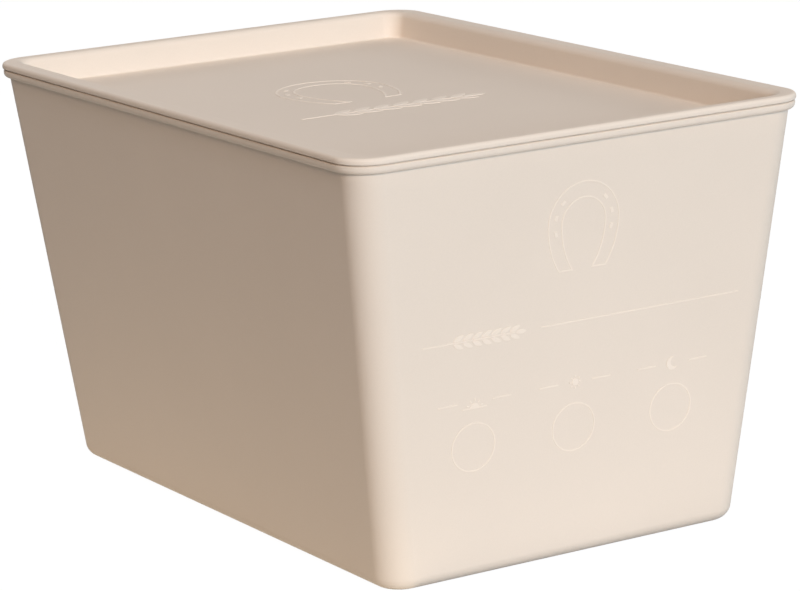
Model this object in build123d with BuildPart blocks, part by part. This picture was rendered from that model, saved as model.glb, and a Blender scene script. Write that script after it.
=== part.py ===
from build123d import *
import os

# A moulded feed bin with a drop-on lid, in millimetres. The origin is on the floor under the
# middle of the bin. +Z is up, the wall with the feeding marks faces -Y, and the long side
# runs along Y.

# Overall sizes
overall_height = 220.0
lid_width = 265.0
lid_length = 377.0
base_width = 210.0
base_length = 326.0

# Bin: walls, floor and foot
wall = 2.4
floor_skin = 1.8
corner_radius = 15.0
base_round = 7.5
foot_band = 9.0
foot_lift = 1.0
gate_radius = 3.0
gate_height = 0.4

# Bin: bead round the mouth
bead_height = 4.2
bead_reach = 2.7
bead_top_round = 0.8
bead_under_round = 2.5
bead_cove = 0.4

# The most of the bead's underside that the cove takes, and that both of its rounds take
cove_share = 0.3
underside_share = 0.95

# Lid: rim, recessed tray and the plug that drops into the mouth
rim_height = 3.9
rim_overhang = 0.5
rim_top_round = 1.9
rim_under_round = 0.6
skirt = 3.0
channel_depth = 1.2
seam_height = 0.6
seam_depth = 1.6
lid_wall = 2.2
tray_depth = 14.5
tray_lean = 2.4
tray_lip_round = 4.0
tray_floor_round = 1.5
plug_clearance = 0.9

# How much wider the rim of the lid is along the long sides than at the ends
side_shoulder = 3.2

# How far the raised marks stand out and how deep they are rooted, with the width of a stroke
mark_relief = 0.2
mark_root = 0.5
mark_stroke = 0.7

# Three tick circles on the front wall, each with a sign over it between two short rules
tick_diameter = 25.3
tick_spacing = 58.4
tick_centre = -1.5
tick_height = 68.6
sign_gap = 10.5
sign_size = 7.0
rule_length = 11.0
rule_gap = 3.0

# Writing line over the tick circles, with an ear of grain to its left
write_line_length = 119.0
write_line_centre = 36.2
write_line_rise = 54.6
front_ear_length = 59.0
front_ear_grain = 6.4
front_ear_gap = 8.0

# Horseshoe over the writing line
front_shoe_height = 44.4
front_shoe_band = 8.5
front_shoe_rise = 26.2

# Horseshoe and ear of grain on the floor of the lid's tray
lid_stroke = 1.1
lid_shoe_height = 66.0
lid_shoe_band = 10.5
lid_shoe_place = 47.0
lid_ear_length = 112.0
lid_ear_grain = 14.0
lid_ear_place = -12.0

# Proportions of a horseshoe
shoe_slimness = 0.94
shoe_heel_share = 0.66
shoe_nail_angles = (-14, 14, 42, 138, 166, 194)
nail_across_share = 0.2
nail_along_share = 0.33

# Proportions of an ear of grain
grain_slimness = 0.36
grain_step_share = 0.84
grain_foot_share = 0.6
grain_tilt = 24
grain_pairs = 7

# Proportions of the signs for morning, midday and evening
rising_disc_share = 0.36
rising_ray_share = 0.22
rising_ray_span = 144
rising_rays = 5
horizon_share = 2.0
noon_disc_share = 0.26
noon_ray_share = 0.17
noon_rays = 8
moon_bite_share = 0.82
moon_bite_across = 0.5
moon_bite_up = 0.2

# Half the thickness of the slice in which edges and faces at one height are looked for
level_slack = 0.01

# Sizes and heights that follow from the values above
mouth_height = overall_height - rim_height
mouth_width = lid_width - 2 * (rim_overhang + bead_reach)
mouth_length = lid_length - 2 * (rim_overhang + bead_reach)
floor_height = foot_lift + floor_skin
bead_foot_height = mouth_height - bead_height
inner_radius = corner_radius - wall
bead_radius = corner_radius + bead_reach
rim_radius = bead_radius + rim_overhang
plug_width = mouth_width - 2 * (wall + plug_clearance + side_shoulder)
plug_length = mouth_length - 2 * (wall + plug_clearance)
plug_radius = inner_radius - plug_clearance
tray_floor_height = overall_height - tray_depth
plug_foot_height = tray_floor_height - lid_wall
foot_margin = base_round + foot_band
tick_places = (tick_centre - tick_spacing, tick_centre, tick_centre + tick_spacing)
sign_height = tick_height + tick_diameter / 2 + sign_gap
rule_shift = sign_size + rule_gap + rule_length / 2
write_line_height = tick_height + write_line_rise
front_ear_centre = write_line_centre - (write_line_length + front_ear_length) / 2 - front_ear_gap
front_shoe_foot = write_line_height + front_shoe_rise

# The front wall leans out from the floor to the mouth. Its plane has X across and Y up the wall.
front_plane = Plane(
    origin=(0, -base_length / 2, 0),
    x_dir=(1, 0, 0),
    z_dir=(0, -mouth_height, -(mouth_length - base_length) / 2),
)


def wall_size(height, base_size, mouth_size):
    """Outer size of the tapered walls at a height above the floor."""
    return base_size + (mouth_size - base_size) * height / mouth_height


def plug_inset(height):
    """How far the plug's side has leaned in at a height, counted from the mouth."""
    return tray_lean * (mouth_height - height) / tray_depth


def level_face(shape, height):
    """The flat face of a shape that lies at a height."""
    level_faces = shape.faces().filter_by(Axis.Z)
    return level_faces.filter_by_position(Axis.Z, height - level_slack, height + level_slack)[0]


def level_edges(shape, height):
    """The edges of a shape that lie at a height."""
    return shape.edges().filter_by_position(Axis.Z, height - level_slack, height + level_slack)


def horseshoe(height, band):
    """A flat horseshoe whose heels stand on the X axis."""
    half_width = height * shoe_slimness / 2
    middle = height - half_width
    heel = half_width * shoe_heel_share
    inner_half = half_width - band
    inner_heel = heel - band
    with BuildSketch() as shoe:
        with BuildLine():
            ThreePointArc((-half_width, middle), (0, height), (half_width, middle))
            TangentArc((half_width, middle), (heel, 0), tangent=(0, -1))
            Line((heel, 0), (inner_heel, 0))
            TangentArc((inner_half, middle), (inner_heel, 0), tangent=(0, -1))
            ThreePointArc((inner_half, middle), (0, middle + inner_half), (-inner_half, middle))
            TangentArc((-inner_half, middle), (-inner_heel, 0), tangent=(0, -1))
            Line((-inner_heel, 0), (-heel, 0))
            TangentArc((-half_width, middle), (-heel, 0), tangent=(0, -1))
        make_face()
    return shoe.sketch


def shoe_nails(height, band):
    """The nail holes of a horseshoe of the same height and band."""
    half_width = height * shoe_slimness / 2
    with BuildSketch() as nails:
        with Locations((0, height - half_width)):
            for angle in shoe_nail_angles:
                with PolarLocations(half_width - band / 2, 1, start_angle=angle):
                    Rectangle(band * nail_across_share, band * nail_along_share)
    return nails.sketch


def shoe_outline(height, band, stroke):
    """The edge line of a horseshoe, with its nail holes inside it."""
    shoe = horseshoe(height, band)
    with BuildSketch() as outline:
        add(shoe)
        add(offset(shoe, amount=-stroke, kind=Kind.INTERSECTION, mode=Mode.PRIVATE), mode=Mode.SUBTRACT)
        add(shoe_nails(height, band))
    return outline.sketch


def grain(length):
    """One pointed grain that lies along +X from the origin."""
    half_width = length * grain_slimness / 2
    with BuildSketch() as seed:
        with BuildLine():
            ThreePointArc((0, 0), (length / 2, half_width), (length, 0))
            ThreePointArc((length, 0), (length / 2, -half_width), (0, 0))
        make_face()
    return seed.sketch


def ear_of_grain(length, grain_length, stroke):
    """An ear of grain along X about the origin, with its tip at +X."""
    stem_end = length / 2 - grain_length + stroke
    with BuildSketch() as ear:
        with Locations(((stem_end - length / 2) / 2, 0)):
            Rectangle(stem_end + length / 2, stroke)
        with Locations((length / 2 - grain_length, 0)):
            add(grain(grain_length))
        for pair in range(grain_pairs):
            foot = length / 2 - grain_length * (1 + grain_step_share * (pair + grain_foot_share))
            with Locations(
                Location((foot, stroke, 0), (0, 0, grain_tilt)),
                Location((foot, -stroke, 0), (0, 0, -grain_tilt)),
            ):
                add(grain(grain_length))
    return ear.sketch


def rising_sun(size, stroke):
    """Half a sun on the horizon, with rays over it."""
    radius = size * rising_disc_share
    ray = size * rising_ray_share
    horizon = stroke / 2 - size / 2
    with BuildSketch() as sign:
        with BuildLine():
            Line((-radius, horizon), (radius, horizon))
            ThreePointArc((radius, horizon), (0, horizon + radius), (-radius, horizon))
        make_face()
        with Locations((0, horizon)):
            Rectangle(size * horizon_share, stroke)
            with PolarLocations(
                radius + ray,
                rising_rays,
                start_angle=90 - rising_ray_span / 2,
                angular_range=rising_ray_span,
                endpoint=True,
            ):
                Rectangle(ray, stroke)
    return sign.sketch


def noon_sun(size, stroke):
    """A full sun with rays all round."""
    ray = size * noon_ray_share
    with BuildSketch() as sign:
        Circle(size * noon_disc_share)
        with PolarLocations((size - ray) / 2, noon_rays):
            Rectangle(ray, stroke)
    return sign.sketch


def evening_moon(size):
    """A crescent moon that opens to the right."""
    radius = size / 2
    with BuildSketch() as sign:
        Circle(radius)
        with Locations((radius * moon_bite_across, radius * moon_bite_up)):
            Circle(radius * moon_bite_share, mode=Mode.SUBTRACT)
    return sign.sketch


# Bin
with BuildPart() as bin_body:
    # Tapered block with a rounded foot
    with BuildSketch(Plane.XY):
        RectangleRounded(base_width, base_length, corner_radius)
    with BuildSketch(Plane.XY.offset(mouth_height)):
        RectangleRounded(mouth_width, mouth_length, corner_radius)
    loft()
    fillet(level_edges(bin_body, 0), base_round)

    # Bead round the mouth. Its underside is as wide as its reach and the taper together, and
    # the rounds on both sides of it stay within that.
    with BuildSketch(Plane.XY.offset(bead_foot_height)):
        RectangleRounded(mouth_width + 2 * bead_reach, mouth_length + 2 * bead_reach, bead_radius)
    extrude(amount=bead_height)
    bead_ledge = bead_reach + (mouth_length - wall_size(bead_foot_height, base_length, mouth_length)) / 2
    cove = min(bead_cove, bead_ledge * cove_share)
    under_round = min(bead_under_round, bead_ledge * underside_share - cove, bead_height - bead_top_round)
    fillet(level_face(bin_body, bead_foot_height).inner_wires()[0].edges(), cove)
    fillet(level_face(bin_body, bead_foot_height).outer_wire().edges(), under_round)
    fillet(level_face(bin_body, mouth_height).outer_wire().edges(), bead_top_round)

    # Hollow inside, whose foot is rounded about the same centre as the outside
    with BuildSketch(Plane.XY.offset(floor_height)):
        RectangleRounded(
            wall_size(floor_height, base_width, mouth_width) - 2 * wall,
            wall_size(floor_height, base_length, mouth_length) - 2 * wall,
            inner_radius,
        )
    with BuildSketch(Plane.XY.offset(mouth_height)):
        RectangleRounded(mouth_width - 2 * wall, mouth_length - 2 * wall, inner_radius)
    loft(mode=Mode.SUBTRACT)
    fillet(level_edges(bin_body, floor_height), base_round - wall)

    # The underside is lifted inside a foot band, with a low moulding stub in its middle
    with BuildSketch(Plane.XY):
        RectangleRounded(base_width - 2 * foot_margin, base_length - 2 * foot_margin, corner_radius)
    extrude(amount=foot_lift, mode=Mode.SUBTRACT)
    with BuildSketch(Plane.XY.offset(foot_lift - gate_height)):
        Circle(gate_radius)
    extrude(amount=gate_height)

    # Raised marks on the front wall
    with BuildSketch(front_plane.offset(-mark_root)):
        with Locations(*[(place, tick_height) for place in tick_places]):
            Circle(tick_diameter / 2)
            Circle(tick_diameter / 2 - mark_stroke, mode=Mode.SUBTRACT)
        with Locations((tick_places[0], sign_height)):
            add(rising_sun(sign_size, mark_stroke))
        with Locations((tick_places[1], sign_height)):
            add(noon_sun(sign_size, mark_stroke))
        with Locations((tick_places[2], sign_height)):
            add(evening_moon(sign_size))
        for place in tick_places:
            with Locations((place - rule_shift, sign_height), (place + rule_shift, sign_height)):
                Rectangle(rule_length, mark_stroke)
        with Locations((write_line_centre, write_line_height)):
            Rectangle(write_line_length, mark_stroke)
        with Locations((front_ear_centre, write_line_height)):
            add(ear_of_grain(front_ear_length, front_ear_grain, mark_stroke))
        with Locations((0, front_shoe_foot)):
            add(shoe_outline(front_shoe_height, front_shoe_band, mark_stroke))
    extrude(amount=mark_root + mark_relief)

bin_body.part.label = "bin"

# Lid
with BuildPart() as lid:
    # Rim that rests on the bead
    with BuildSketch(Plane.XY.offset(mouth_height)):
        RectangleRounded(lid_width, lid_length, rim_radius)
    extrude(amount=rim_height)

    # Plug with sloping sides, nearer to the mouth at the ends than along the long sides
    foot_inset = plug_inset(plug_foot_height)
    with BuildSketch(Plane.XY.offset(mouth_height)):
        RectangleRounded(plug_width, plug_length, plug_radius)
    with BuildSketch(Plane.XY.offset(plug_foot_height)):
        RectangleRounded(plug_width - 2 * foot_inset, plug_length - 2 * foot_inset, plug_radius - foot_inset)
    loft()
    fillet(level_edges(lid, plug_foot_height), tray_floor_round + lid_wall)

    # Tray sunk into the top, whose sides follow the plug's
    top_inset = lid_wall + plug_inset(overall_height)
    floor_inset = lid_wall + plug_inset(tray_floor_height)
    with BuildSketch(Plane.XY.offset(overall_height)):
        RectangleRounded(plug_width - 2 * top_inset, plug_length - 2 * top_inset, plug_radius - top_inset)
    with BuildSketch(Plane.XY.offset(tray_floor_height)):
        RectangleRounded(
            plug_width - 2 * floor_inset, plug_length - 2 * floor_inset, plug_radius - floor_inset
        )
    loft(mode=Mode.SUBTRACT)
    fillet(level_edges(lid, tray_floor_height), tray_floor_round)
    fillet(level_face(lid, overall_height).inner_wires()[0].edges(), tray_lip_round)
    fillet(level_face(lid, overall_height).outer_wire().edges(), rim_top_round)

    # Hollow channel under the rim, between its skirt and the plug
    with BuildSketch(Plane.XY.offset(mouth_height)):
        RectangleRounded(lid_width - 2 * skirt, lid_length - 2 * skirt, rim_radius - skirt)
        RectangleRounded(plug_width, plug_length, plug_radius, mode=Mode.SUBTRACT)
    extrude(amount=channel_depth, mode=Mode.SUBTRACT)

    # Narrow seam between the rim and the bead, outside the skirt that the lid stands on
    with BuildSketch(Plane.XY.offset(mouth_height)):
        RectangleRounded(lid_width, lid_length, rim_radius)
        RectangleRounded(
            lid_width - 2 * seam_depth, lid_length - 2 * seam_depth, rim_radius - seam_depth, mode=Mode.SUBTRACT
        )
    extrude(amount=seam_height, mode=Mode.SUBTRACT)
    fillet(level_face(lid, mouth_height + seam_height).outer_wire().edges(), rim_under_round)

    # Raised outline of a horseshoe and an ear of grain on the tray's floor
    with BuildSketch(Plane.XY.offset(tray_floor_height - mark_root)):
        with Locations((0, lid_shoe_place - lid_shoe_height / 2)):
            add(shoe_outline(lid_shoe_height, lid_shoe_band, lid_stroke))
        with Locations((0, lid_ear_place)):
            add(ear_of_grain(lid_ear_length, lid_ear_grain, lid_stroke))
    extrude(amount=mark_root + mark_relief)

lid.part.label = "lid"

os.makedirs("parts", exist_ok=True)
export_step(bin_body.part, "parts/bin.step")
export_step(lid.part, "parts/lid.step")
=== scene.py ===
"""A moulded horse feed bin with its drop-on tray lid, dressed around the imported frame.

The bin and the lid are each one plastic moulding. Their sizes below are in millimetres and become
metres on their way into a mesh, and the studio round them is in metres. +Z is up, and the front
wall with the feeding marks faces -Y.
"""

import logging
import math
from collections.abc import Iterable, Mapping, Sequence
from dataclasses import dataclass, field
from enum import Enum, IntEnum

import bmesh
import bpy
from mathutils import Matrix, Vector


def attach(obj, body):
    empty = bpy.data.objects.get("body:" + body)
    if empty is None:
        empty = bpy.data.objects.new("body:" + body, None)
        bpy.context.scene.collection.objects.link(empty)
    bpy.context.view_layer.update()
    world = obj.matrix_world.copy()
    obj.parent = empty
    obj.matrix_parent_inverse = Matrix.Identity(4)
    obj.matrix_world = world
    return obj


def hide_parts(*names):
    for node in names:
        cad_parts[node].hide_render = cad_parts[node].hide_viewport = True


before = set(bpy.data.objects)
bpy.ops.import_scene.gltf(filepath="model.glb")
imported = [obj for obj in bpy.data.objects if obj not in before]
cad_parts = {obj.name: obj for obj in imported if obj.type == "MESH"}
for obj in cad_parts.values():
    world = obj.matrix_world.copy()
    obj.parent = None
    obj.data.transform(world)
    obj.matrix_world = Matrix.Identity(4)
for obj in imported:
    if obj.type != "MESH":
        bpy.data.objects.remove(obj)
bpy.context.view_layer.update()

log = logging.getLogger("feed_bin")

MM = 0.001
QUARTER_TURN = math.pi / 2

Feed = bpy.types.NodeSocket | bpy.types.Node | float | int | bool | str | tuple[float, ...]
Point = tuple[float, float]
Triple = tuple[float, float, float]


class Body(Enum):
    """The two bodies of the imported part, each with its CAD node and its material slot."""

    BIN = "bin"
    LID = "lid"

    @property
    def slot(self) -> str:
        """The name of the record's material slot for the body."""
        return f"{self.value}_plastic"


class Turns(IntEnum):
    """How many points a round of a moulding's section has."""

    NONE = 1
    EDGE = 4
    BEAD_TOP = 6
    COVE = 8
    BEAD_FOOT = 10
    WIDE = 12
    BASE = 16


class TreeBuilder:
    """Adds nodes to one node tree and joins their sockets."""

    def __init__(self, tree: bpy.types.NodeTree) -> None:
        """Works on a tree that may already hold nodes."""
        self.tree = tree

    def add(
        self, kind: str, feeds: Mapping[str | int, Feed] | None = None, **settings: object
    ) -> bpy.types.Node:
        """Adds one node.

        Args:
            kind: The node's type.
            feeds: Values, sockets or nodes for its inputs, by input name or number.
            **settings: The node's own properties, set before its inputs.

        Returns:
            The new node.
        """
        node = self.tree.nodes.new(kind)
        for name, value in settings.items():
            setattr(node, name, value)
        for key, feed in (feeds or {}).items():
            self.join(feed, node.inputs[key])
        return node

    def join(self, feed: Feed, socket: bpy.types.NodeSocket) -> None:
        """Links a socket or a node's first output to an input, or sets the input's value.

        Args:
            feed: What goes in.
            socket: The input.
        """
        if isinstance(feed, bpy.types.Node):
            feed = feed.outputs[0]
        if isinstance(feed, bpy.types.NodeSocket):
            self.tree.links.new(feed, socket)
        else:
            socket.default_value = feed

    def math(self, operation: str, *feeds: Feed) -> bpy.types.NodeSocket:
        """Adds a math node with its inputs in order, and gives its result."""
        return self.add("ShaderNodeMath", dict(enumerate(feeds)), operation=operation).outputs[0]

    def plus(self, first: Feed, second: Feed) -> bpy.types.NodeSocket:
        """Adds two numbers."""
        return self.math("ADD", first, second)

    def minus(self, first: Feed, second: Feed) -> bpy.types.NodeSocket:
        """Takes the second number from the first."""
        return self.math("SUBTRACT", first, second)

    def times(self, first: Feed, second: Feed) -> bpy.types.NodeSocket:
        """Multiplies two numbers."""
        return self.math("MULTIPLY", first, second)

    def over(self, first: Feed, second: Feed) -> bpy.types.NodeSocket:
        """Divides the first number by the second."""
        return self.math("DIVIDE", first, second)

    def whole_times(self, number: Feed, size: Feed) -> bpy.types.NodeSocket:
        """How many whole times a size goes into a whole number."""
        return self.math("FLOOR", self.over(self.plus(number, 0.5), size))

    def vector(self, x: Feed, y: Feed, z: Feed = 0.0) -> bpy.types.NodeSocket:
        """Joins three numbers into a vector socket."""
        return self.add("ShaderNodeCombineXYZ", {"X": x, "Y": y, "Z": z}).outputs[0]


class ShapeBuilder(TreeBuilder):
    """Adds the groups of geometry nodes that the shapes share."""

    def attribute(self, name: str, kind: str = "FLOAT") -> bpy.types.NodeSocket:
        """Reads a named attribute of the geometry."""
        return self.add("GeometryNodeInputNamedAttribute", {"Name": name}, data_type=kind).outputs[0]

    def polar(self, angle: Feed, radius: Feed) -> bpy.types.NodeSocket:
        """The flat place at an angle and a radius from the origin."""
        return self.vector(*(self.times(self.math(wave, angle), radius) for wave in ("COSINE", "SINE")))

    def merged(self, geometry: Feed, within: float = 0.001) -> bpy.types.Node:
        """Merges the points that lie within some millimetres of each other."""
        return self.add("GeometryNodeMergeByDistance", {"Geometry": geometry, "Distance": within * MM})

    def together(self, *parts: Feed) -> bpy.types.Node:
        """Joins geometries into one.

        Args:
            *parts: The geometries.

        Returns:
            The node that joins them.
        """
        whole = self.add("GeometryNodeJoinGeometry")
        for part in parts:
            self.join(part, whole.inputs[0])
        return whole

    def grid(self, columns: Feed, rows: Feed, **sizes: Feed) -> bpy.types.Node:
        """Makes a flat grid of points, with Size_X and Size_Y where they matter."""
        feeds = {name.replace("_", " "): size for name, size in sizes.items()}
        return self.add("GeometryNodeMeshGrid", {"Vertices X": columns, "Vertices Y": rows} | feeds)

    def strip(self, steps: Feed) -> tuple[bpy.types.Node, bpy.types.NodeSocket, bpy.types.NodeSocket]:
        """Makes a strip of quads, two points wide.

        Args:
            steps: How many quads it has.

        Returns:
            The strip, a point's step along it, and its side, 0 or 1.
        """
        index = self.add("GeometryNodeInputIndex")
        return self.grid(self.plus(steps, 1), 2), self.whole_times(index, 2), self.math("MODULO", index, 2)

    def copies(self, shape: Feed, count: Feed, place: Feed, turn: Feed) -> bpy.types.Node:
        """Puts copies of a shape at places in its own plane.

        Args:
            shape: The shape.
            count: How many copies there are.
            place: A copy's place.
            turn: A copy's turn about Z.

        Returns:
            The node that repeats the shape.
        """
        points = self.add("GeometryNodeMeshLine", {"Count": count, "Offset": (0.0, 0.0, 0.0)})
        placed_points = self.add("GeometryNodeSetPosition", {"Geometry": points, "Position": place})
        turned = self.add("FunctionNodeEulerToRotation", {"Euler": self.vector(0.0, 0.0, turn)})
        return self.add(
            "GeometryNodeInstanceOnPoints", {"Points": placed_points, "Instance": shape, "Rotation": turned}
        )


def placed(name: str, data: bpy.types.ID) -> bpy.types.Object:
    """Makes an object and links it to the scene.

    Args:
        name: The object's name.
        data: Its mesh, lamp or camera.

    Returns:
        The object.
    """
    piece = bpy.data.objects.new(name, data)
    bpy.context.scene.collection.objects.link(piece)
    return piece


def settle(piece: bpy.types.Object) -> bpy.types.Mesh:
    """Turns an object's evaluated shape into a plain mesh and removes the object.

    Args:
        piece: The object, with its modifiers live.

    Returns:
        The mesh, in the row frame.
    """
    bpy.context.view_layer.update()
    evaluated = piece.evaluated_get(bpy.context.evaluated_depsgraph_get())
    mesh = bpy.data.meshes.new_from_object(evaluated)
    mesh.transform(piece.matrix_world)
    bpy.data.objects.remove(piece)
    return mesh


def mesh_of(
    name: str, points: Iterable[Sequence[float]], edges: Sequence = (), faces: Sequence = ()
) -> bpy.types.Mesh:
    """Makes a mesh from points in millimetres.

    Args:
        name: The mesh's name.
        points: The points, in millimetres.
        edges: Pairs of point numbers.
        faces: Rings of point numbers.

    Returns:
        The mesh, in metres.
    """
    mesh = bpy.data.meshes.new(name)
    mesh.from_pydata([tuple(MM * c for c in (*point, 0.0)[:3]) for point in points], edges, faces)
    mesh.update()
    return mesh


def faced_out(mesh: bpy.types.Mesh) -> bpy.types.Mesh:
    """Turns a closed mesh's faces outwards.

    Args:
        mesh: The mesh to turn.

    Returns:
        The same mesh.
    """
    shape = bmesh.new()
    shape.from_mesh(mesh)
    bmesh.ops.recalc_face_normals(shape, faces=shape.faces)
    shape.to_mesh(mesh)
    shape.free()
    return mesh


def joined(name: str, meshes: Iterable[bpy.types.Mesh]) -> bpy.types.Mesh:
    """Joins flat outlines into one mesh. Their finish comes later, with their thickness.

    Args:
        name: The new mesh's name.
        meshes: The outlines, which are used up.

    Returns:
        The joined mesh.
    """
    shape = bmesh.new()
    for mesh in meshes:
        shape.from_mesh(mesh)
        bpy.data.meshes.remove(mesh)
    whole = bpy.data.meshes.new(name)
    shape.to_mesh(whole)
    shape.free()
    return whole


class Shaper:
    """A Geometry Nodes tree with named inputs, which turns a start mesh into a finished one."""

    def __init__(
        self,
        name: str,
        finish: bpy.types.Material,
        lengths: Sequence[str] = (),
        factors: Sequence[str] = (),
        angles: Sequence[str] = (),
        counts: Sequence[str] = (),
    ) -> None:
        """Makes the empty tree with its sockets.

        Args:
            name: The tree's name.
            finish: The material that its results wear.
            lengths: Names of the inputs that are given in millimetres.
            factors: Names of the inputs that are plain factors.
            angles: Names of the inputs that are given in degrees.
            counts: Names of the inputs that are whole numbers.
        """
        self.finish = finish
        self.units = dict.fromkeys(lengths, MM) | dict.fromkeys(angles, math.radians(1))
        self.tree = bpy.data.node_groups.new(name, "GeometryNodeTree")
        kinds = {"Geometry": "Geometry"} | dict.fromkeys((*lengths, *factors, *angles), "Float")
        kinds |= dict.fromkeys(counts, "Int") | {"Finish": "Material"}
        for title, kind in kinds.items():
            self.tree.interface.new_socket(title, in_out="INPUT", socket_type=f"NodeSocket{kind}")
        self.tree.interface.new_socket("Geometry", in_out="OUTPUT", socket_type="NodeSocketGeometry")
        self.build = ShapeBuilder(self.tree)
        self.inputs = self.build.add("NodeGroupInput").outputs

    def close(self, geometry: Feed) -> None:
        """Ends the tree in real geometry with its finish.

        Args:
            geometry: The last shape.
        """
        real = self.build.add("GeometryNodeRealizeInstances", {"Geometry": geometry})
        feeds = {"Geometry": real, "Material": self.inputs["Finish"]}
        self.build.add("NodeGroupOutput", {"Geometry": self.build.add("GeometryNodeSetMaterial", feeds)})

    def run(self, start: bpy.types.Mesh | None = None, **sizes: float) -> bpy.types.Mesh:
        """Runs the tree on a mesh.

        Args:
            start: The mesh that goes in, or nothing where the tree makes its own.
            **sizes: A value for each named input, with underscores for its spaces.

        Returns:
            The result as a plain mesh.
        """
        if start is None:
            start = mesh_of("seed", [(0, 0)])
        piece = placed(self.tree.name, start)
        modifier = piece.modifiers.new(self.tree.name, "NODES")
        modifier.node_group = self.tree
        values = {name.replace("_", " "): value for name, value in sizes.items()}
        for item in self.tree.interface.items_tree:
            if item.in_out == "INPUT" and item.name in values:
                modifier[item.identifier] = values[item.name] * self.units.get(item.name, 1)
            elif item.name == "Finish":
                modifier[item.identifier] = self.finish
        return settle(piece)


@dataclass(frozen=True)
class ProfileCorner:
    """One corner of a moulding's section: how far out and up it lies, and how it is rounded.

    `out` is counted from the foot of a wall, and `across` moves the corner further out on the
    long sides only.
    """

    out: float
    up: float
    round: float = 0.0
    turns: Turns = Turns.NONE
    across: float = 0.0


class RimmedShell(Shaper):
    """Carries a section round a rounded rectangle whose sides lean, which makes a closed moulding.

    The section's first and last corners lie on the middle axis and close the two faces.
    """

    merge_within: float = 0.01

    def __init__(self, finish: bpy.types.Material) -> None:
        """Builds the tree.

        Args:
            finish: The material that its results wear.
        """
        super().__init__(
            "rimmed_shell",
            finish,
            lengths=("Half Width", "Half Length", "Corner Radius", "Least Radius"),
            factors=("Lean", "Lean Across", "Lean Along"),
            counts=("Corner Steps",),
        )
        build, inputs = self.build, self.inputs
        stations = self._stations()
        rows = build.add("GeometryNodeAttributeDomainSize", {"Geometry": stations}, component="POINTCLOUD")
        per_corner = build.plus(inputs["Corner Steps"], 1)
        columns = build.times(per_corner, 4)
        across = build.plus(columns, 1)

        index = build.add("GeometryNodeInputIndex")
        row = build.whole_times(index, across)
        column = build.math("MODULO", build.minus(index, build.times(row, across)), columns)
        corner = build.whole_times(column, per_corner)
        step = build.minus(column, build.times(corner, per_corner))
        turn = build.over(step, inputs["Corner Steps"])
        angle = build.times(build.plus(corner, turn), QUARTER_TURN)
        facing = build.times(build.plus(corner, 0.5), QUARTER_TURN)

        feeds = {"Geometry": stations, "Value": build.add("GeometryNodeInputPosition"), "Index": row}
        station = build.add("GeometryNodeSampleIndex", feeds, data_type="FLOAT_VECTOR")
        out, across_only, up = build.add("ShaderNodeSeparateXYZ", {"Vector": station}).outputs
        full_radius = build.minus(build.plus(inputs["Corner Radius"], out), build.times(inputs["Lean"], up))
        radius = build.math("MAXIMUM", full_radius, inputs["Least Radius"])
        not_first = build.math("GREATER_THAN", row, 0.5)
        not_last = build.math("LESS_THAN", build.plus(row, 0.5), build.minus(rows, 1))
        off_axis = build.times(not_first, not_last)

        def side(half: Feed, lean: str, turned: str) -> bpy.types.NodeSocket:
            """One coordinate of the ring: the corner's centre, and the round about it.

            Args:
                half: Half the size between the two walls.
                lean: The name of the walls' own part of the lean.
                turned: The wave that gives this coordinate of an angle.

            Returns:
                The coordinate.
            """
            reach = build.plus(build.plus(half, out), build.times(inputs[lean], up))
            sign = build.math("SIGN", build.math(turned, facing))
            centre = build.times(sign, build.minus(reach, radius))
            about = build.times(build.math(turned, angle), radius)
            return build.times(off_axis, build.plus(centre, about))

        ring_x = side(build.plus(inputs["Half Width"], across_only), "Lean Across", "COSINE")
        ring_y = side(inputs["Half Length"], "Lean Along", "SINE")
        feeds = {"Geometry": build.grid(rows, across), "Position": build.vector(ring_x, ring_y, up)}
        self.close(build.merged(build.add("GeometryNodeSetPosition", feeds), self.merge_within))

    def _stations(self) -> bpy.types.Node:
        """Rounds the section's corners.

        Returns:
            The node with the section's points.
        """
        build = self.build
        feeds = {
            "Curve": build.add("GeometryNodeMeshToCurve", {"Mesh": self.inputs["Geometry"]}),
            "Count": build.attribute("turns", "INT"),
            "Radius": build.attribute("round"),
        }
        rounded = build.add("GeometryNodeFilletCurve", feeds, mode="POLY")
        return build.add("GeometryNodeCurveToPoints", {"Curve": rounded}, mode="EVALUATED")

    def mould(self, corners: Sequence[ProfileCorner], **sizes: float) -> bpy.types.Mesh:
        """Makes a moulding from its section.

        Args:
            corners: The section's corners in order, from one face's middle to the other's.
            **sizes: The tree's named inputs.

        Returns:
            The closed mesh, with its faces outwards.
        """
        chain = mesh_of(
            "section",
            [(corner.out, corner.across, corner.up) for corner in corners],
            edges=[(index, index + 1) for index in range(len(corners) - 1)],
        )
        rounds = chain.attributes.new("round", "FLOAT", "POINT")
        turns = chain.attributes.new("turns", "INT", "POINT")
        for index, corner in enumerate(corners):
            rounds.data[index].value = corner.round * MM
            turns.data[index].value = int(corner.turns)
        return faced_out(self.run(chain, **sizes))


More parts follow.
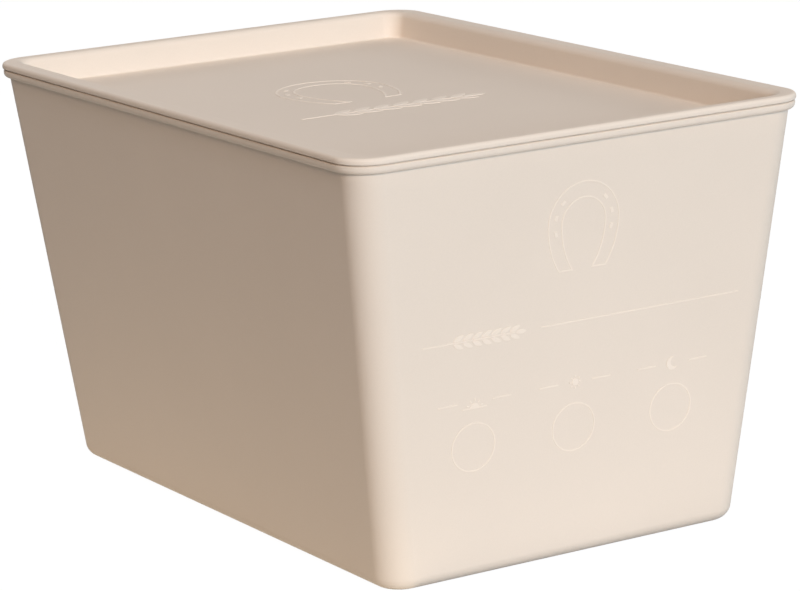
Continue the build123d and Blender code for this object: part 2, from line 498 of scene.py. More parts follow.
class Relief(Shaper):
    """Gives flat outlines their thickness: a root under the surface and a rise over it."""

    ease_steps: int = 3
    ease_from_angle: float = 40.0

    def __init__(self, finish: bpy.types.Material) -> None:
        """Builds the tree.

        Args:
            finish: The material that its results wear.
        """
        super().__init__("relief", finish, lengths=("Rise", "Root"))
        build, inputs = self.build, self.inputs
        outlines = inputs["Geometry"]
        height = build.vector(0.0, 0.0, build.plus(inputs["Rise"], inputs["Root"]))
        feeds = {"Mesh": outlines, "Offset": height, "Individual": False}
        raised = build.add("GeometryNodeExtrudeMesh", feeds, mode="FACES")
        base = build.add("GeometryNodeFlipFaces", {"Mesh": outlines})
        sunk = build.vector(0.0, 0.0, build.times(inputs["Root"], -1.0))
        feeds = {"Geometry": build.merged(build.together(raised, base)), "Translation": sunk}
        self.close(build.add("GeometryNodeTransform", feeds))

    def solid(self, outlines: bpy.types.Mesh, rise: float, root: float, ease: float) -> bpy.types.Mesh:
        """Makes solids of flat outlines.

        Args:
            outlines: Flat faces that point to +Z.
            rise: How far they stand over the surface, in millimetres.
            root: How far they reach under it.
            ease: The round on their edges.

        Returns:
            The closed solids.
        """
        piece = placed("relief", self.run(outlines, Rise=rise, Root=root))
        bevel = piece.modifiers.new("ease", "BEVEL")
        bevel.width = ease * MM
        bevel.segments = self.ease_steps
        bevel.limit_method = "ANGLE"
        bevel.angle_limit = math.radians(self.ease_from_angle)
        bevel.use_clamp_overlap = True
        return faced_out(settle(piece))


class RowOfRings(Shaper):
    """Flat rings in a row along X, about the origin."""

    def __init__(self, finish: bpy.types.Material) -> None:
        """Builds the tree.

        Args:
            finish: The material that its results wear.
        """
        super().__init__(
            "row_of_rings", finish, lengths=("Diameter", "Stroke", "Spacing"), counts=("Rings", "Segments")
        )
        build, inputs = self.build, self.inputs
        strip, step, edge = build.strip(inputs["Segments"])
        angle = build.over(build.times(step, math.tau), inputs["Segments"])
        radius = build.minus(build.times(inputs["Diameter"], 0.5), build.times(edge, inputs["Stroke"]))
        feeds = {"Geometry": strip, "Position": build.polar(angle, radius)}
        ring = build.merged(build.add("GeometryNodeSetPosition", feeds))
        half_row = build.times(build.minus(inputs["Rings"], 1), -0.5)
        feeds = {
            "Count": inputs["Rings"],
            "Start Location": build.vector(build.times(half_row, inputs["Spacing"]), 0.0),
            "Offset": build.vector(inputs["Spacing"], 0.0),
        }
        row = build.add("GeometryNodeMeshLine", feeds)
        self.close(build.add("GeometryNodeInstanceOnPoints", {"Points": row, "Instance": ring}))


class Fan(Shaper):
    """Flat bars that stand out from a middle at even angles, such as rays or the nails of a bow."""

    def __init__(self, finish: bpy.types.Material) -> None:
        """Builds the tree.

        Args:
            finish: The material that its results wear.
        """
        super().__init__(
            "fan",
            finish,
            lengths=("Inner Radius", "Bar Length", "Bar Width"),
            angles=("Start", "Step"),
            counts=("Bars",),
        )
        build, inputs = self.build, self.inputs
        turn = build.times(build.add("GeometryNodeInputIndex"), inputs["Step"])
        angle = build.plus(inputs["Start"], turn)
        radius = build.plus(inputs["Inner Radius"], build.times(inputs["Bar Length"], 0.5))
        ray = build.grid(2, 2, Size_X=inputs["Bar Length"], Size_Y=inputs["Bar Width"])
        self.close(build.copies(ray, inputs["Bars"], build.polar(angle, radius), angle))


class EarOfGrain(Shaper):
    """A flat ear of grain along X about the origin: a stem, a tip grain and pairs of grains."""

    stem_gap_share: float = 0.25

    def __init__(self, finish: bpy.types.Material) -> None:
        """Builds the tree.

        Args:
            finish: The material that its results wear.
        """
        super().__init__(
            "ear_of_grain",
            finish,
            lengths=("Length", "Grain Length", "Stroke"),
            factors=("Slimness", "Step Share", "Foot Share"),
            angles=("Tilt",),
            counts=("Pairs", "Segments"),
        )
        build, inputs = self.build, self.inputs
        half = build.times(inputs["Length"], 0.5)
        tip_foot = build.minus(half, inputs["Grain Length"])

        index = build.add("GeometryNodeInputIndex")
        paired = build.math("GREATER_THAN", index, 0.5)
        pair = build.math("FLOOR", build.times(build.minus(index, 0.5), 0.5))
        side = build.minus(build.times(build.math("MODULO", index, 2), 2), 1)
        side = build.times(side, paired)
        step = build.times(inputs["Step Share"], paired)
        steps = build.times(build.plus(pair, inputs["Foot Share"]), step)
        foot = build.minus(tip_foot, build.times(steps, inputs["Grain Length"]))
        place = build.vector(foot, build.times(side, inputs["Stroke"]))
        count = build.plus(build.times(inputs["Pairs"], 2), 1)
        grains = build.copies(self._grain(), count, place, build.times(side, inputs["Tilt"]))

        stem_end = build.minus(tip_foot, build.times(inputs["Stroke"], self.stem_gap_share))
        stem = build.grid(2, 2, Size_X=build.plus(stem_end, half), Size_Y=inputs["Stroke"])
        middle = build.vector(build.times(build.minus(stem_end, half), 0.5), 0.0)
        laid = build.add("GeometryNodeTransform", {"Geometry": stem, "Translation": middle})
        self.close(build.together(grains, laid))

    def _grain(self) -> bpy.types.Node:
        """Makes one pointed grain along +X from the origin, between two arcs.

        Returns:
            The node with the grain.
        """
        build, inputs = self.build, self.inputs
        strip, step, edge = build.strip(inputs["Segments"])
        side = build.minus(build.times(edge, 2), 1)
        half = build.times(inputs["Grain Length"], 0.5)
        belly = build.times(inputs["Slimness"], half)
        squares = build.plus(build.times(half, half), build.times(belly, belly))
        radius = build.over(squares, build.times(belly, 2))
        along = build.over(build.times(step, inputs["Grain Length"]), inputs["Segments"])
        from_middle = build.minus(along, half)
        under = build.minus(build.times(radius, radius), build.times(from_middle, from_middle))
        height = build.minus(build.math("SQRT", under), build.minus(radius, belly))
        feeds = {"Geometry": strip, "Position": build.vector(along, build.times(side, height))}
        return build.merged(build.add("GeometryNodeSetPosition", feeds))


@dataclass(frozen=True)
class Workshop:
    """The trees that the mouldings and their marks are made with."""

    shells: RimmedShell
    relief: Relief
    rings: RowOfRings
    fan: Fan
    ears: EarOfGrain

    @classmethod
    def fitted_out(cls, wall: bpy.types.Material, mark: bpy.types.Material) -> "Workshop":
        """Builds the trees.

        Args:
            wall: The material of the mouldings.
            mark: The material of their raised marks, whose lighter colour is a painted sheen.

        Returns:
            The workshop.
        """
        return cls(RimmedShell(wall), Relief(mark), RowOfRings(mark), Fan(mark), EarOfGrain(mark))


def arc(middle: Point, radius: float, start: float, end: float, steps: int) -> list[Point]:
    """Points along an arc.

    Args:
        middle: The arc's centre.
        radius: Its radius.
        start: Its first angle, in degrees.
        end: Its last angle, in degrees.
        steps: How many straight steps it has.

    Returns:
        The points, both ends included.
    """
    angles = (math.radians(start + (end - start) * step / steps) for step in range(steps + 1))
    return [(middle[0] + radius * math.cos(angle), middle[1] + radius * math.sin(angle)) for angle in angles]


def flat(outline: Sequence[Point], at: Point = (0.0, 0.0), border: float = 0.0) -> bpy.types.Mesh:
    """Makes a flat face of an outline.

    Args:
        outline: Its points, anticlockwise.
        at: Where the outline's own origin goes.
        border: The width of a border that alone is kept, or 0 to keep the whole face.

    Returns:
        The flat mesh, which points to +Z.
    """
    points = [(x + at[0], y + at[1]) for x, y in outline]
    mesh = mesh_of("outline", points, faces=[range(len(points))])
    if border:
        shape = bmesh.new()
        shape.from_mesh(mesh)
        inner = list(shape.faces)
        bmesh.ops.inset_region(
            shape, faces=inner, thickness=border * MM, use_boundary=True, use_even_offset=True
        )
        bmesh.ops.delete(shape, geom=inner, context="FACES")
        shape.to_mesh(mesh)
        shape.free()
    return mesh


def bar(length: float, width: float, at: Point) -> bpy.types.Mesh:
    """Makes a flat bar along X.

    Args:
        length: Its length.
        width: Its width.
        at: Where its middle goes.

    Returns:
        The flat mesh.
    """
    half, edge = length / 2, width / 2
    return flat([(-half, -edge), (half, -edge), (half, edge), (-half, edge)], at)


def disc(radius: float, steps: int) -> bpy.types.Mesh:
    """Makes a flat disc about the origin."""
    return flat(arc((0, 0), radius, 0, 360, steps)[:-1])


def shifted(mesh: bpy.types.Mesh, across: float, up: float) -> bpy.types.Mesh:
    """Moves a mesh in its own plane, by millimetres, and returns it."""
    mesh.transform(Matrix.Translation((across * MM, up * MM, 0.0)))
    return mesh


@dataclass(frozen=True)
class Horseshoe:
    """A horseshoe whose heels stand on the X axis, with its nails."""

    height: float
    band: float
    slimness: float = 0.94
    heel_share: float = 0.66
    nail_across_share: float = 0.2
    nail_along_share: float = 0.33
    nail_starts: tuple[float, ...] = (-14.0, 138.0)
    nail_step: float = 28.0
    nails_a_side: int = 3
    bow_steps: int = 40
    leg_steps: int = 13

    @property
    def half_width(self) -> float:
        """Half the width over the quarters."""
        return self.height * self.slimness / 2

    @property
    def middle(self) -> float:
        """The height of the bow's centre."""
        return self.height - self.half_width

    def outline(self) -> list[Point]:
        """Draws the shoe's edge.

        Returns:
            Its points, anticlockwise: the bow, a leg that turns in, its heel, and back inside.
        """
        half, middle = self.half_width, self.middle
        spare = half * (1 - self.heel_share)
        leg = (spare**2 + middle**2) / (2 * spare)
        sweep = math.degrees(math.asin(middle / leg))
        inner = half - self.band
        right_out = arc((half - leg, middle), leg, -sweep, 0, self.leg_steps)
        right_in = arc((inner - leg, middle), leg, 0, -sweep, self.leg_steps)
        bow = arc((0, middle), half, 0, 180, self.bow_steps)
        throat = arc((0, middle), inner, 180, 0, self.bow_steps)
        left_out = [(-x, y) for x, y in reversed(right_out)]
        left_in = [(-x, y) for x, y in reversed(right_in)]
        return right_out + bow[1:] + left_out[1:] + left_in + throat[1:] + right_in[1:]

    def drawn(self, fan: Fan, stroke: float, foot: float) -> bpy.types.Mesh:
        """Draws the shoe as its edge line, with its nails along the middle of the band.

        Args:
            fan: The tree that repeats a nail.
            stroke: The line's width.
            foot: How high the heels stand.

        Returns:
            The drawing, flat.
        """
        across = self.band * self.nail_across_share
        sides = [
            fan.run(
                Inner_Radius=self.half_width - (self.band + across) / 2,
                Bar_Length=across,
                Bar_Width=self.band * self.nail_along_share,
                Bars=self.nails_a_side,
                Start=start,
                Step=self.nail_step,
            )
            for start in self.nail_starts
        ]
        nails = shifted(joined("nails", sides), 0.0, self.middle)
        return shifted(joined("shoe", [flat(self.outline(), border=stroke), nails]), 0.0, foot)


@dataclass(frozen=True)
class GrainSizes:
    """The proportions of an ear of grain."""

    slimness: float = 0.36
    step_share: float = 0.84
    foot_share: float = 0.6
    tilt: float = 24.0
    pairs: int = 7
    segments: int = 12

    def ear(self, tree: EarOfGrain, length: float, grain: float, stroke: float) -> bpy.types.Mesh:
        """Makes one ear.

        Args:
            tree: The tree that repeats a grain.
            length: The ear's whole length.
            grain: One grain's length.
            stroke: The stem's width.

        Returns:
            The ear, flat.
        """
        return tree.run(
            Length=length,
            Grain_Length=grain,
            Stroke=stroke,
            Slimness=self.slimness,
            Step_Share=self.step_share,
            Foot_Share=self.foot_share,
            Tilt=self.tilt,
            Pairs=self.pairs,
            Segments=self.segments,
        )


@dataclass(frozen=True)
class FeedSigns:
    """The signs for the morning, midday and evening feeds, each about its own middle."""

    size: float = 7.0
    stroke: float = 0.7
    rising_disc_share: float = 0.36
    rising_ray_share: float = 0.22
    rising_ray_span: float = 144.0
    rising_rays: int = 5
    horizon_share: float = 2.0
    noon_disc_share: float = 0.26
    noon_ray_share: float = 0.17
    noon_rays: int = 8
    moon_bite_share: float = 0.82
    moon_bite_across: float = 0.5
    moon_bite_up: float = 0.2
    arc_steps: int = 32

    def rising_sun(self, fan: Fan) -> bpy.types.Mesh:
        """Draws half a sun on the horizon, with rays over it.

        Args:
            fan: The tree that repeats a ray.

        Returns:
            The sign, flat.
        """
        radius = self.size * self.rising_disc_share
        ray = self.size * self.rising_ray_share
        half_stroke = self.stroke / 2
        meets = math.degrees(math.asin(half_stroke / radius))
        reach = self.size * self.horizon_share / 2
        sun = [(-reach, -half_stroke), (reach, -half_stroke), (reach, half_stroke)]
        sun += arc((0, 0), radius, meets, 180 - meets, self.arc_steps)
        sun.append((-reach, half_stroke))
        rays = fan.run(
            Inner_Radius=radius + ray / 2,
            Bar_Length=ray,
            Bar_Width=self.stroke,
            Bars=self.rising_rays,
            Start=90 - self.rising_ray_span / 2,
            Step=self.rising_ray_span / (self.rising_rays - 1),
        )
        return shifted(joined("rising_sun", [flat(sun), rays]), 0.0, half_stroke - self.size / 2)

    def noon_sun(self, fan: Fan) -> bpy.types.Mesh:
        """Draws a full sun with rays all round.

        Args:
            fan: The tree that repeats a ray.

        Returns:
            The sign, flat.
        """
        ray = self.size * self.noon_ray_share
        rays = fan.run(
            Inner_Radius=self.size / 2 - ray,
            Bar_Length=ray,
            Bar_Width=self.stroke,
            Bars=self.noon_rays,
            Start=0.0,
            Step=360 / self.noon_rays,
        )
        return joined("noon_sun", [disc(self.size * self.noon_disc_share, self.arc_steps), rays])

    def evening_moon(self) -> bpy.types.Mesh:
        """Draws a crescent moon that opens to the right.

        Returns:
            The sign, flat.
        """
        radius = self.size / 2
        bite = radius * self.moon_bite_share
        bite_middle = Vector((radius * self.moon_bite_across, radius * self.moon_bite_up))
        apart = bite_middle.length
        facing = math.degrees(math.atan2(bite_middle.y, bite_middle.x))
        outer_half = math.degrees(math.acos((apart**2 + radius**2 - bite**2) / (2 * apart * radius)))
        inner_half = math.degrees(math.acos((radius**2 - apart**2 - bite**2) / (2 * apart * bite)))
        back = arc((0, 0), radius, facing + outer_half, facing + 360 - outer_half, self.arc_steps)
        front = arc(tuple(bite_middle), bite, facing + 360 - inner_half, facing + inner_half, self.arc_steps)
        return flat(back + front[1:-1])


@dataclass(frozen=True)
class MouldedPlastic:
    """Matte polypropylene with a fine spark-eroded texture from the mould.

    Lengths are in millimetres. A drift says how far a value strays about its middle, and noise
    mostly strays from 0.5 by its reach.
    """

    name: str
    colour: Triple
    roughness: float = 0.62
    roughness_drift: float = 0.03
    gloss_level: float = 0.24
    cloud_size: float = 85.0
    cloud_detail: float = 3.0
    cloud_drift: float = 0.012
    fleck_size: float = 0.7
    fleck_drift: float = 0.012
    texture_size: float = 0.42
    texture_depth: float = 0.012
    grain_detail: float = 2.0
    noise_reach: float = 0.25

    def material(self) -> bpy.types.Material:
        """Builds the shader.

        Returns:
            The material.
        """
        material = bpy.data.materials.new(self.name)
        material.use_nodes = True
        material.node_tree.nodes.clear()
        build = TreeBuilder(material.node_tree)
        place = build.add("ShaderNodeTexCoord").outputs["Object"]
        cloud = self._noise(build, place, self.cloud_size, self.cloud_detail)
        fleck = self._noise(build, place, self.fleck_size, self.grain_detail)
        texture = self._noise(build, place, self.texture_size, self.grain_detail)
        drifts = self._drift(build, cloud, self.cloud_drift), self._drift(build, fleck, self.fleck_drift)
        tone = build.plus(build.plus(*drifts), 1.0)
        bump = {"Strength": 1.0, "Distance": self.texture_depth * MM, "Height": texture}
        feeds = {
            "Base Color": build.add(
                "ShaderNodeVectorMath", {0: self.colour, "Scale": tone}, operation="SCALE"
            ),
            "Roughness": build.plus(self._drift(build, texture, self.roughness_drift), self.roughness),
            "Normal": build.add("ShaderNodeBump", bump),
            "Specular IOR Level": self.gloss_level,
        }
        plastic = build.add("ShaderNodeBsdfPrincipled", feeds)
        build.add("ShaderNodeOutputMaterial", {"Surface": plastic})
        return material

    def _drift(self, build: TreeBuilder, noise: Feed, drift: float) -> bpy.types.NodeSocket:
        """Turns noise into a drift about 0."""
        return build.times(build.minus(noise, 0.5), drift / self.noise_reach)

    @staticmethod
    def _noise(build: TreeBuilder, place: Feed, size: float, detail: float) -> bpy.types.NodeSocket:
        """Noise whose grains are about `size` millimetres across."""
        feeds = {"Vector": place, "Scale": 1 / (size * MM), "Detail": detail}
        return build.add("ShaderNodeTexNoise", feeds).outputs["Fac"]


@dataclass
class Moulding:
    """A shell with its marks worked into it, on one body of the part."""

    body: Body
    tools: Workshop
    mark_relief: float = 0.2
    mark_root: float = 0.5
    mark_ease: float = 0.12
    crease_angle: float = 35.0
    face_area_weight: int = 100
    corner_steps: int = 36

    def worked(
        self, shell: bpy.types.Mesh, marks: Sequence[bpy.types.Mesh], surface: Matrix, rise: float
    ) -> bpy.types.Mesh:
        """Joins raised marks to the shell.

        Args:
            shell: The closed shell.
            marks: The flat outlines of the marks, each mesh free of overlaps.
            surface: Where the marks' own plane lies in the row frame.
            rise: How far the marks stand out.

        Returns:
            The shell with its marks.
        """
        piece = placed(self.body.value + "_blank", shell)
        blocks = []
        for number, mark in enumerate(marks):
            solid = self.tools.relief.solid(mark, rise, self.mark_root, self.mark_ease)
            solid.transform(surface)
            block = placed(f"mark_{number}", solid)
            union = piece.modifiers.new(block.name, "BOOLEAN")
            union.operation = "UNION"
            union.solver = "EXACT"
            union.object = block
            union.material_mode = "TRANSFER"
            blocks.append(block)
        mesh = settle(piece)
        for block in blocks:
            bpy.data.objects.remove(block)
        return mesh

    def finished(self, mesh: bpy.types.Mesh) -> bpy.types.Object:
        """Makes the final object of a worked mesh: smooth rounds, crisp edges, on its body.

        Args:
            mesh: The worked mesh.

        Returns:
            The object, which stands for the body's CAD node.
        """
        mesh.shade_smooth()
        mesh.set_sharp_from_angle(angle=math.radians(self.crease_angle))
        blank = placed("smoothed", mesh)
        weighted = blank.modifiers.new("weighted", "WEIGHTED_NORMAL")
        weighted.keep_sharp = True
        weighted.weight = self.face_area_weight
        final = settle(blank)
        final.name = f"{self.body.value}_moulding"
        piece = placed(final.name, final)
        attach(piece, self.body.value)
        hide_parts(self.body.value)
        log.info("%s: %d faces", piece.name, len(final.polygons))
        return piece


@dataclass
class FeedBin(Moulding):
    """The tapered bin: four walls, a floor with a foot band, and a bead round the mouth."""

    base_width: float = 210.0
    base_length: float = 326.0
    mouth_width: float = 258.6
    mouth_length: float = 370.6
    mouth_height: float = 216.1
    wall: float = 2.4
    floor_height: float = 2.8
    corner_radius: float = 15.0
    least_radius: float = 5.0
    base_round: float = 7.5
    foot_band: float = 9.0
    foot_lift: float = 1.0
    gate_radius: float = 3.0
    gate_height: float = 0.4
    gate_segments: int = 48
    bead_height: float = 4.2
    bead_reach: float = 2.7
    bead_top_round: float = 0.8
    bead_under_round: float = 2.5
    bead_cove: float = 0.4
    land_round: float = 0.3

    tick_diameter: float = 25.3
    tick_spacing: float = 58.4
    tick_centre: float = -1.5
    tick_height: float = 68.6
    tick_segments: int = 96
    stroke: float = 0.7
    sign_gap: float = 10.5
    rule_length: float = 11.0
    rule_gap: float = 3.0
    line_length: float = 119.0
    line_centre: float = 36.2
    line_rise: float = 54.6
    ear_length: float = 59.0
    ear_grain: float = 6.4
    ear_gap: float = 8.0
    shoe_rise: float = 26.2
    signs: FeedSigns = field(default_factory=FeedSigns)
    grains: GrainSizes = field(default_factory=GrainSizes)
    shoe: Horseshoe = field(default_factory=lambda: Horseshoe(height=44.4, band=8.5))

    @property
    def side_lean(self) -> float:
        """How far a side wall leans out for each millimetre of height."""
        return (self.mouth_width - self.base_width) / 2 / self.mouth_height

    @property
    def end_lean(self) -> float:
        """How far the front and back walls lean out for each millimetre of height."""
        return (self.mouth_length - self.base_length) / 2 / self.mouth_height

    @property
    def lean(self) -> float:
        """The mean of the two leans, which the section is drawn with."""
        return (self.side_lean + self.end_lean) / 2

    def corners(self) -> list[ProfileCorner]:
        """Draws the bin's section.

        Returns:
            Its corners, from the middle of the inner floor to the middle of the underside.
        """
        lean, top = self.lean, self.mouth_height
        bead_foot = top - self.bead_height
        bead_out = lean * top + self.bead_reach
        band_in = -self.base_round - self.foot_band
        floor_out = lean * self.floor_height - self.wall
        return [
            ProfileCorner(band_in, self.floor_height),
            ProfileCorner(floor_out, self.floor_height, self.base_round - self.wall, Turns.WIDE),
            ProfileCorner(lean * top - self.wall, top, self.land_round, Turns.EDGE),
            ProfileCorner(bead_out, top, self.bead_top_round, Turns.BEAD_TOP),
            ProfileCorner(bead_out, bead_foot, self.bead_under_round, Turns.BEAD_FOOT),
            ProfileCorner(lean * bead_foot, bead_foot, self.bead_cove, Turns.COVE),
            ProfileCorner(0.0, 0.0, self.base_round, Turns.BASE),
            ProfileCorner(band_in, 0.0, self.land_round, Turns.EDGE),
            ProfileCorner(band_in, self.foot_lift, self.land_round, Turns.EDGE),
            ProfileCorner(band_in - self.foot_band, self.foot_lift),
        ]

    def front(self) -> Matrix:
        """Finds the front wall's plane.

        Returns:
            Its place: X across, Y up the wall, Z out of it, from its foot.
        """
        up = Vector((0.0, -self.end_lean, 1.0)).normalized()
        out = Vector((1.0, 0.0, 0.0)).cross(up)
        turn = Matrix((Vector((1.0, 0.0, 0.0)), up, out)).transposed().to_4x4()
        return Matrix.Translation((0.0, -self.base_length / 2 * MM, 0.0)) @ turn

    def marks(self) -> list[bpy.types.Mesh]:
        """Lays out the marks on the front wall.

        Returns:
            The flat outlines of the marks.
        """
        signs, fan = self.signs, self.tools.fan
        line_height = self.tick_height + self.line_rise
        sign_height = self.tick_height + self.tick_diameter / 2 + self.sign_gap
        suns = [signs.rising_sun(fan), signs.noon_sun(fan)]
        moon = signs.evening_moon()
        places = [self.tick_centre + step * self.tick_spacing for step in (-1, 0, 1)]
        for sign, place in zip((*suns, moon), places):
            shifted(sign, place, sign_height)
        ticks = self.tools.rings.run(
            Diameter=self.tick_diameter,
            Stroke=self.stroke,
            Spacing=self.tick_spacing,
            Rings=len(places),
            Segments=self.tick_segments,
        )
        shifted(ticks, self.tick_centre, self.tick_height)
        rule_shift = signs.size + self.rule_gap + self.rule_length / 2
        rules = [
            bar(self.rule_length, self.stroke, at=(place + side * rule_shift, sign_height))
            for place in places
            for side in (-1, 1)
        ]
        line = bar(self.line_length, self.stroke, at=(self.line_centre, line_height))
        ear = self.grains.ear(self.tools.ears, self.ear_length, self.ear_grain, self.stroke)
        shifted(ear, self.line_centre - (self.line_length + self.ear_length) / 2 - self.ear_gap, line_height)
        shoe = self.shoe.drawn(fan, self.stroke, line_height + self.shoe_rise)
        return [joined("strokes", [ticks, *rules, line]), joined("suns", suns), moon, ear, shoe]

    def make(self) -> None:
        """Moulds the bin and works its marks and the stub under its floor."""
        shell = self.tools.shells.mould(
            self.corners(),
            Half_Width=self.base_width / 2,
            Half_Length=self.base_length / 2,
            Corner_Radius=self.corner_radius,
            Least_Radius=self.least_radius,
            Lean=self.lean,
            Lean_Across=self.side_lean - self.lean,
            Lean_Along=self.end_lean - self.lean,
            Corner_Steps=self.corner_steps,
        )
        marked = self.worked(shell, self.marks(), self.front(), self.mark_relief)
        gate = disc(self.gate_radius, self.gate_segments)
        under = Matrix.Translation((0.0, 0.0, self.foot_lift * MM)) @ Matrix.Rotation(math.pi, 4, "X")
        self.finished(self.worked(marked, [gate], under, self.gate_height))


@dataclass
class TrayLid(Moulding):
    """The drop-on lid: a rim that lies on the bead, a sunk tray and the plug round it."""

    width: float = 265.0
    length: float = 377.0
    top: float = 220.0
    rim_height: float = 3.9
    rim_radius: float = 18.2
    rim_top_round: float = 1.9
    rim_under_round: float = 0.6
    seam_height: float = 0.6
    seam_depth: float = 1.6
    seam_round: float = 0.2
    skirt: float = 3.0
    channel_depth: float = 1.2
    lid_wall: float = 2.2
    plug_shift: float = 6.5
    side_shoulder: float = 3.2
    tray_depth: float = 14.5
    tray_lean: float = 2.4
    tray_lip_round: float = 4.0
    tray_floor_round: float = 1.5
    least_radius: float = 2.0
    edge_round: float = 0.3

    stroke: float = 1.1
    shoe_place: float = 47.0
    ear_length: float = 112.0
    ear_grain: float = 14.0
    ear_place: float = -12.0
    shoe: Horseshoe = field(default_factory=lambda: Horseshoe(height=66.0, band=10.5))
    grains: GrainSizes = field(default_factory=GrainSizes)

    @property
    def floor_height(self) -> float:
        """The height of the tray's floor."""
        return self.top - self.tray_depth

    def corners(self) -> list[ProfileCorner]:
        """Draws the lid's section.

        Returns:
            Its corners, from the middle of the tray's floor to the middle of the plug's foot.
        """
        rim_foot = self.top - self.rim_height
        floor = self.floor_height
        plug_foot = floor - self.lid_wall
        lean = self.tray_lean / self.tray_depth

        def plug(height: float) -> float:
            """How far out the plug's side lies at a height."""
            return -self.plug_shift - lean * (rim_foot - height)

        shoulder = -self.side_shoulder
        channel = rim_foot + self.channel_depth
        seam = rim_foot + self.seam_height
        floor_out = plug(floor) - self.lid_wall
        lip_out = plug(self.top) - self.lid_wall
        foot_out = plug(plug_foot)
        foot_round = self.tray_floor_round + self.lid_wall
        return [
            ProfileCorner(floor_out - self.plug_shift, floor, across=shoulder),
            ProfileCorner(floor_out, floor, self.tray_floor_round, Turns.COVE, shoulder),
            ProfileCorner(lip_out, self.top, self.tray_lip_round, Turns.WIDE, shoulder),
            ProfileCorner(lip_out + self.tray_lip_round, self.top, across=shoulder),
            ProfileCorner(-self.rim_top_round - self.edge_round, self.top),
            ProfileCorner(0.0, self.top, self.rim_top_round, Turns.WIDE),
            ProfileCorner(0.0, seam, self.rim_under_round, Turns.COVE),
            ProfileCorner(-self.seam_depth, seam, self.seam_round, Turns.EDGE),
            ProfileCorner(-self.seam_depth, rim_foot, self.seam_round, Turns.EDGE),
            ProfileCorner(-self.skirt, rim_foot, self.edge_round, Turns.EDGE),
            ProfileCorner(-self.skirt, channel, self.edge_round, Turns.EDGE),
            ProfileCorner(-self.plug_shift, channel, self.edge_round, Turns.EDGE, shoulder),
            ProfileCorner(foot_out, plug_foot, foot_round, Turns.WIDE, shoulder),
            ProfileCorner(foot_out - self.plug_shift, plug_foot, across=shoulder),
        ]

    def marks(self) -> list[bpy.types.Mesh]:
        """Lays out the marks on the tray's floor.

        Returns:
            The flat outlines of the marks.
        """
        shoe = self.shoe.drawn(self.tools.fan, self.stroke, self.shoe_place - self.shoe.height / 2)
        ear = self.grains.ear(self.tools.ears, self.ear_length, self.ear_grain, self.stroke)
        return [shoe, shifted(ear, 0.0, self.ear_place)]

    def make(self) -> None:
        """Moulds the lid and works its marks."""
        shell = self.tools.shells.mould(
            self.corners(),
            Half_Width=self.width / 2,
            Half_Length=self.length / 2,
            Corner_Radius=self.rim_radius,
            Least_Radius=self.least_radius,
            Lean=0.0,
            Lean_Across=0.0,
            Lean_Along=0.0,
            Corner_Steps=self.corner_steps,
        )
        floor = Matrix.Translation((0.0, 0.0, self.floor_height * MM))
        self.finished(self.worked(shell, self.marks(), floor, self.mark_relief))


@dataclass(frozen=True)
class SoftLamp:
    """A rectangular soft lamp, which looks at the middle of the bin unless it has its own aim."""

    name: str
    place: Triple
    width: float
    height: float
    power: float
    colour: Triple = (1.0, 1.0, 1.0)
    aim: Triple = (0.0, 0.0, 0.12)

    def light(self) -> None:
        """Puts the lamp in the scene, where the camera doesn't see it."""
        data = bpy.data.lights.new(self.name, "AREA")
        data.shape = "RECTANGLE"
        data.size = self.width
        data.size_y = self.height
        data.energy = self.power
        data.color = self.colour
        lamp = placed(self.name, data)
        lamp.location = self.place
        lamp.rotation_euler = (Vector(self.aim) - lamp.location).to_track_quat("-Z", "Y").to_euler()
        lamp.visible_camera = False


def floor_bounce(
    name: str, x: float, y: float, width: float, length: float, power: float, colour: Triple
) -> SoftLamp:
    """Makes a lamp that lies just over the floor and shines up, as light off a pale floor does.

    Args:
        name: The lamp's name.
        x: Its place across.
        y: Its place along.
        width: Its size across.
        length: Its size along.
        power: Its power in watts.
        colour: Its colour.

    Returns:
        The lamp.
    """
    over_floor = 0.0008
    return SoftLamp(name, (x, y, over_floor), width, length, power, colour, aim=(x, y, 1.0))


@dataclass(frozen=True)
class Viewpoint:
    """The camera: its place in metres, its angles in degrees and its lens in millimetres."""

    place: Triple = (-0.966127, -1.575321, 0.538089)
    yaw: float = 31.69492
    pitch: float = 13.258
    roll: float = -1.9492
    lens: float = 162.675
    film: float = 36.0

    def set_up(self) -> None:
        """Puts the camera in the scene and makes it the one that is used."""
        yaw, pitch, roll = (math.radians(angle) for angle in (self.yaw, self.pitch, self.roll))
        ahead = Vector((math.sin(yaw) * math.cos(pitch), math.cos(yaw) * math.cos(pitch), -math.sin(pitch)))
        level = Vector((math.cos(yaw), -math.sin(yaw), 0.0))
        upright = level.cross(ahead)
        right = math.cos(roll) * level + math.sin(roll) * upright
        up = math.cos(roll) * upright - math.sin(roll) * level
        data = bpy.data.cameras.new("camera")
        data.lens = self.lens
        data.sensor_width = self.film
        data.sensor_fit = "HORIZONTAL"
        camera = placed("camera", data)
        turn = Matrix((right, up, -ahead)).transposed().to_4x4()
        camera.matrix_world = Matrix.Translation(self.place) @ turn
        bpy.context.scene.camera = camera


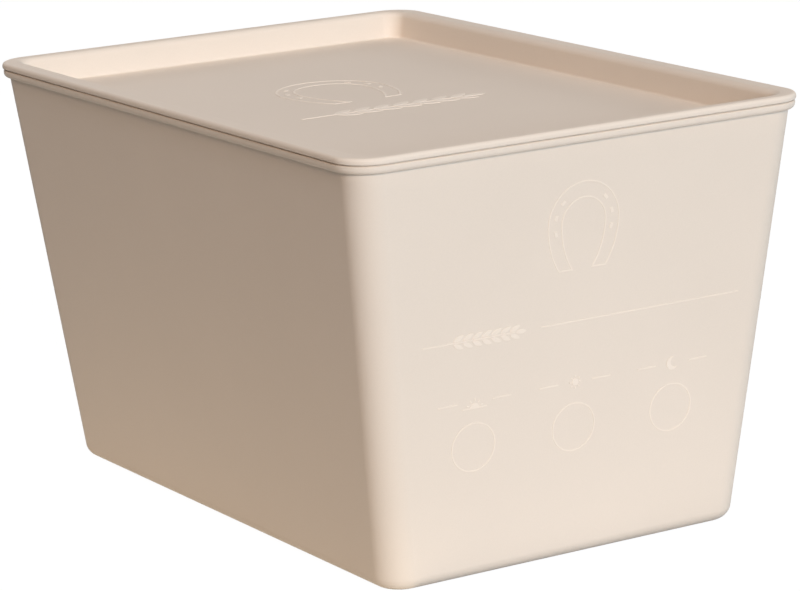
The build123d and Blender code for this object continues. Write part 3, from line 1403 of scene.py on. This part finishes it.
@dataclass
class Studio:
    """A plain pale floor, soft lamps, a pale surround and the camera."""

    floor_size: float = 16.0
    floor_colour: Triple = (0.4, 0.4, 0.4)
    floor_veil: float = 0.85
    floor_white: float = 1.15
    surround_colour: Triple = (1.0, 1.0, 1.0)
    surround_strength: float = 0.02
    lamps: tuple[SoftLamp, ...] = (
        SoftLamp("front_lamp", (0.0, -6.0, 1.7), 2.0, 1.6, 217.0, (0.68, 0.858, 1.0)),
        SoftLamp("left_lamp", (-2.6, -5.0, 3.0), 2.0, 1.6, 185.0, (1.0, 0.775, 0.61)),
        SoftLamp("high_lamp", (-1.6, 0.0, 5.8), 2.4, 2.4, 89.0, (1.0, 0.975, 0.973)),
        SoftLamp("right_lamp", (6.0, -1.0, 2.0), 2.0, 1.6, 72.0),
        SoftLamp("back_lamp", (1.0, 6.0, 2.4), 2.0, 1.6, 48.0),
        floor_bounce("left_bounce", -0.2, 0.0, 0.22, 0.5, 0.098, (1.0, 0.81, 0.545)),
        floor_bounce("front_bounce", 0.05, -0.27, 0.32, 0.2, 0.06, (1.0, 0.915, 0.86)),
    )
    viewpoint: Viewpoint = field(default_factory=Viewpoint)

    def set_up(self) -> None:
        """Builds the studio round the bin."""
        self._floor()
        self._surround()
        for lamp in self.lamps:
            lamp.light()
        self.viewpoint.set_up()
        bpy.context.scene.view_settings.view_transform = "Standard"

    def _floor(self) -> None:
        """Lays the floor, which looks white to the camera and keeps the bin's shadow."""
        half = self.floor_size / 2
        corners = [(-half, -half, 0), (half, -half, 0), (half, half, 0), (-half, half, 0)]
        mesh = bpy.data.meshes.new("floor")
        mesh.from_pydata(corners, [], [range(len(corners))])
        material = bpy.data.materials.new("pale_floor")
        material.use_nodes = True
        material.node_tree.nodes.clear()
        build = TreeBuilder(material.node_tree)
        veil = build.times(self._seen(build), self.floor_veil)
        matte = build.add("ShaderNodeBsdfDiffuse", {"Color": (*self.floor_colour, 1.0)})
        white = build.add("ShaderNodeEmission", {"Strength": self.floor_white})
        mixed = build.add("ShaderNodeMixShader", {0: veil, 1: matte, 2: white})
        build.add("ShaderNodeOutputMaterial", {"Surface": mixed})
        mesh.materials.append(material)
        placed("floor", mesh)

    def _surround(self) -> None:
        """Sets the world: white to the camera, dimmer as a light on the bin."""
        world = bpy.data.worlds.new("surround")
        world.use_nodes = True
        world.node_tree.nodes.clear()
        build = TreeBuilder(world.node_tree)
        feeds = {"Color": (*self.surround_colour, 1.0), "Strength": self.surround_strength}
        fill = build.add("ShaderNodeBackground", feeds)
        white = build.add("ShaderNodeBackground", {"Color": (1.0, 1.0, 1.0, 1.0), "Strength": 1.0})
        mixed = build.add("ShaderNodeMixShader", {0: self._seen(build), 1: fill, 2: white})
        build.add("ShaderNodeOutputWorld", {"Surface": mixed})
        bpy.context.scene.world = world

    @staticmethod
    def _seen(build: TreeBuilder) -> bpy.types.NodeSocket:
        """Tells what is looked at from what only lights the bin.

        Args:
            build: The builder of the tree that the answer is for.

        Returns:
            1 where the camera, a reflection or a view through glass sees the surface, else 0.
        """
        path = build.add("ShaderNodeLightPath").outputs
        direct = build.math("MAXIMUM", path["Is Camera Ray"], path["Is Glossy Ray"])
        return build.math("MAXIMUM", direct, path["Is Transmission Ray"])


def main() -> None:
    """Builds the bin, its lid and the studio."""
    wall_plastic = MouldedPlastic("sand_plastic", colour=(0.8, 0.7, 0.605))
    # The marks have a smoother finish than the wall, and a colour lifted above the wall's as a painted
    # sheen, so the raised strokes render lighter.
    painted_sheen_mark_plastic = MouldedPlastic("mark_with_painted_sheen", colour=(0.872, 0.768, 0.668), roughness=0.5)
    tools = Workshop.fitted_out(wall_plastic.material(), painted_sheen_mark_plastic.material())
    FeedBin(Body.BIN, tools).make()
    TrayLid(Body.LID, tools).make()
    Studio().set_up()
    bpy.context.view_layer.update()


if __name__ == "__main__":
    logging.basicConfig(level=logging.INFO, format="%(name)s: %(message)s")
    main()
